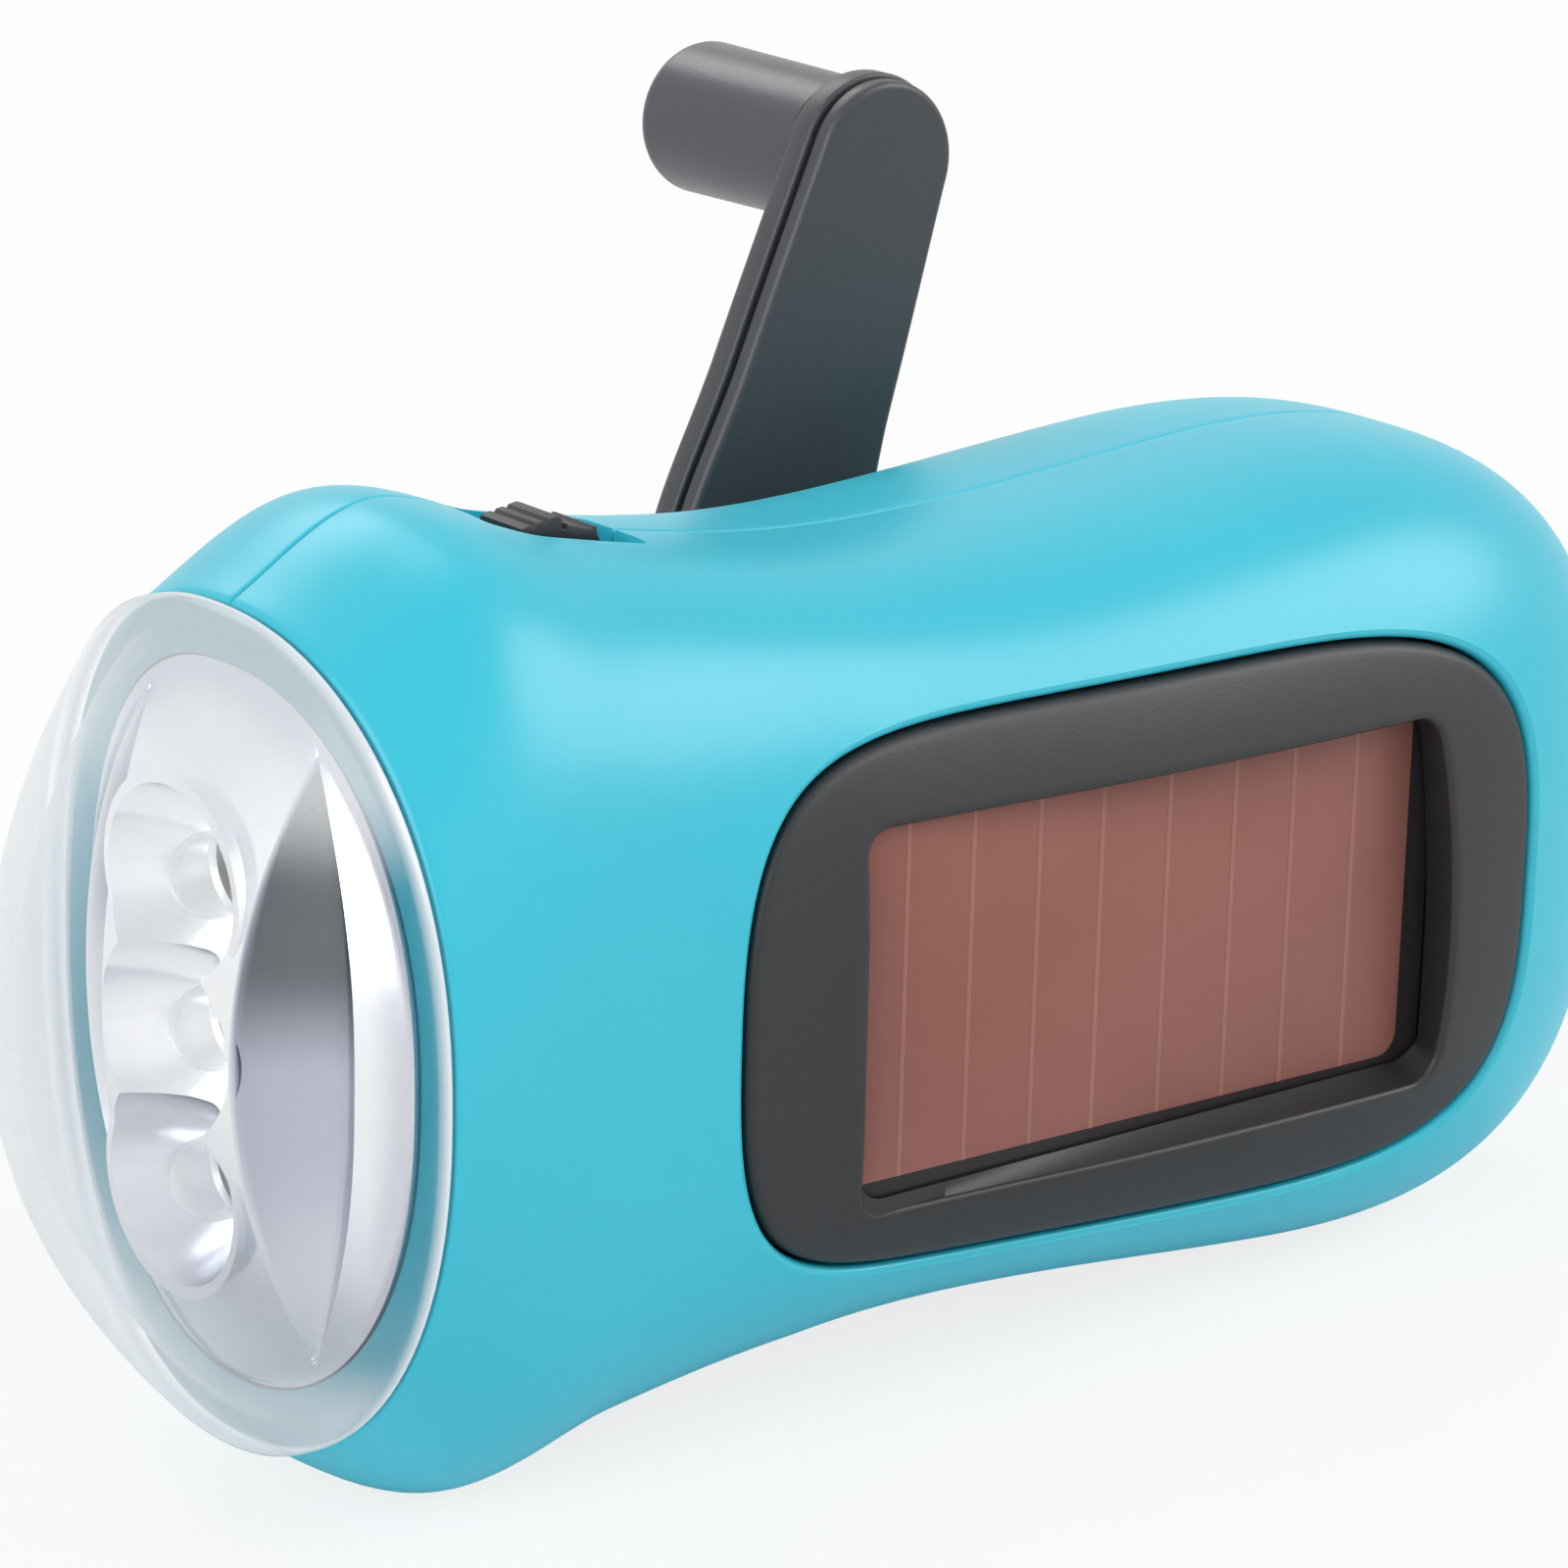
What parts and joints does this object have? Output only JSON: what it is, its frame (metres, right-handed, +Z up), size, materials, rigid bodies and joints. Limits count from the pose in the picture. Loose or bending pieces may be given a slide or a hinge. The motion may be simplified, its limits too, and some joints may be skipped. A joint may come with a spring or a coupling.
{
  "type": "hand crank flashlight",
  "caption": "Hand crank flashlight: waisted two-part housing, domed clear lens over LED lamps, solar panel in one side, fold-out crank driving a generator, slide switch on top.",
  "frame": {"origin": "middle of the outer box's footprint, on the surface the torch stands on", "axes": "+X from the lens to the rear end, +Y from the solar panel side to the crank side, +Z up through the switch; the torch's own axis is nose up by about 2.8 degrees, because it stands on its head and its grip"},
  "size_m": [0.1124, 0.0636, 0.0712],
  "materials": {
    "shell_turquoise": "satin moulded ABS, turquoise",
    "clear_lens": "clear polished polycarbonate",
    "reflector_metal": "bright metallised plastic",
    "lamp_clear": "clear epoxy lamp",
    "black_plastic": "fine satin moulded ABS, black",
    "solar_cell": "brown-red thin film behind glass",
    "pad_foam": "closed-cell foam tape",
    "steel": "plain steel",
    "brass": "turned brass",
    "gear_plastic": "natural acetal",
    "circuit_board": "green solder mask on fibreglass",
    "battery_sleeve": "heat-shrink sleeve"
  },
  "bodies": {
    "root": {"panel_side_shell": "shell_turquoise", "crank_side_shell": "shell_turquoise", "front_lens": "clear_lens", "reflector": "reflector_metal", "lamp_upper": "lamp_clear", "lamp_middle": "lamp_clear", "lamp_lower": "lamp_clear", "lamp_board": "circuit_board", "panel_bezel": "black_plastic", "solar_panel": "solar_cell", "panel_pad": "pad_foam", "switch_body": "black_plastic", "axle_bush": "brass", "first_gear_pin": "steel", "second_gear_pin": "steel", "generator_case": "steel", "gear_plate": "steel", "control_board": "circuit_board", "battery_pack": "battery_sleeve", "housing_screw_head_top": "steel", "housing_screw_head_bottom": "steel", "housing_screw_grip_top": "steel", "housing_screw_grip_bottom": "steel", "plate_screw_top": "steel", "plate_screw_bottom": "steel", "plate_screw_rear": "steel"},
    "crank": {"crank_hub": "black_plastic", "crank_axle": "steel", "drive_gear": "gear_plastic", "hinge_pin": "steel"},
    "arm": {"crank_arm": "black_plastic", "arm_cover": "black_plastic", "knob_pin": "steel"},
    "knob": {"crank_knob": "black_plastic"},
    "switch": {"switch_slider": "black_plastic"},
    "first_gear_set": {"first_gear": "gear_plastic"},
    "second_gear_set": {"second_gear": "gear_plastic"},
    "rotor": {"rotor_pinion": "brass", "rotor_shaft": "steel", "rotor_magnet": "steel"}
  },
  "joints": [
    {"name": "crank_spin", "type": "hinge", "parent": "root", "child": "crank", "pos_m": [0.00679, 0.009, 0.02693], "axis": [0, 1, 0], "continuous": true},
    {"name": "arm_fold", "type": "hinge", "parent": "crank", "child": "arm", "pos_m": [0.00884, 0.01319, 0.03203], "axis": [-0.9284, 0, 0.3717], "range_deg": [0, 150]},
    {"name": "knob_spin", "type": "hinge", "parent": "arm", "child": "knob", "pos_m": [0.02229, 0.02359, 0.06564], "axis": [0, 1, 0], "continuous": true},
    {"name": "switch_slide", "type": "slide", "parent": "root", "child": "switch", "axis": [-0.9585, 0, 0.2851], "range_m": [0, 0.0032]},
    {"name": "first_gear_spin", "type": "hinge", "parent": "root", "child": "first_gear_set", "pos_m": [0.02464, -0.0005, 0.02729], "axis": [0, 1, 0], "continuous": true},
    {"name": "second_gear_spin", "type": "hinge", "parent": "root", "child": "second_gear_set", "pos_m": [0.03834, -0.002, 0.03433], "axis": [0, 1, 0], "continuous": true},
    {"name": "rotor_spin", "type": "hinge", "parent": "root", "child": "rotor", "pos_m": [0.03304, -0.008, 0.02175], "axis": [0, 1, 0], "continuous": true}
  ],
  "couplings": [
    {"joint": "first_gear_spin", "follows": "crank_spin", "ratio": -3.6364},
    {"joint": "second_gear_spin", "follows": "crank_spin", "ratio": 12.364},
    {"joint": "rotor_spin", "follows": "crank_spin", "ratio": -41.212}
  ]
}
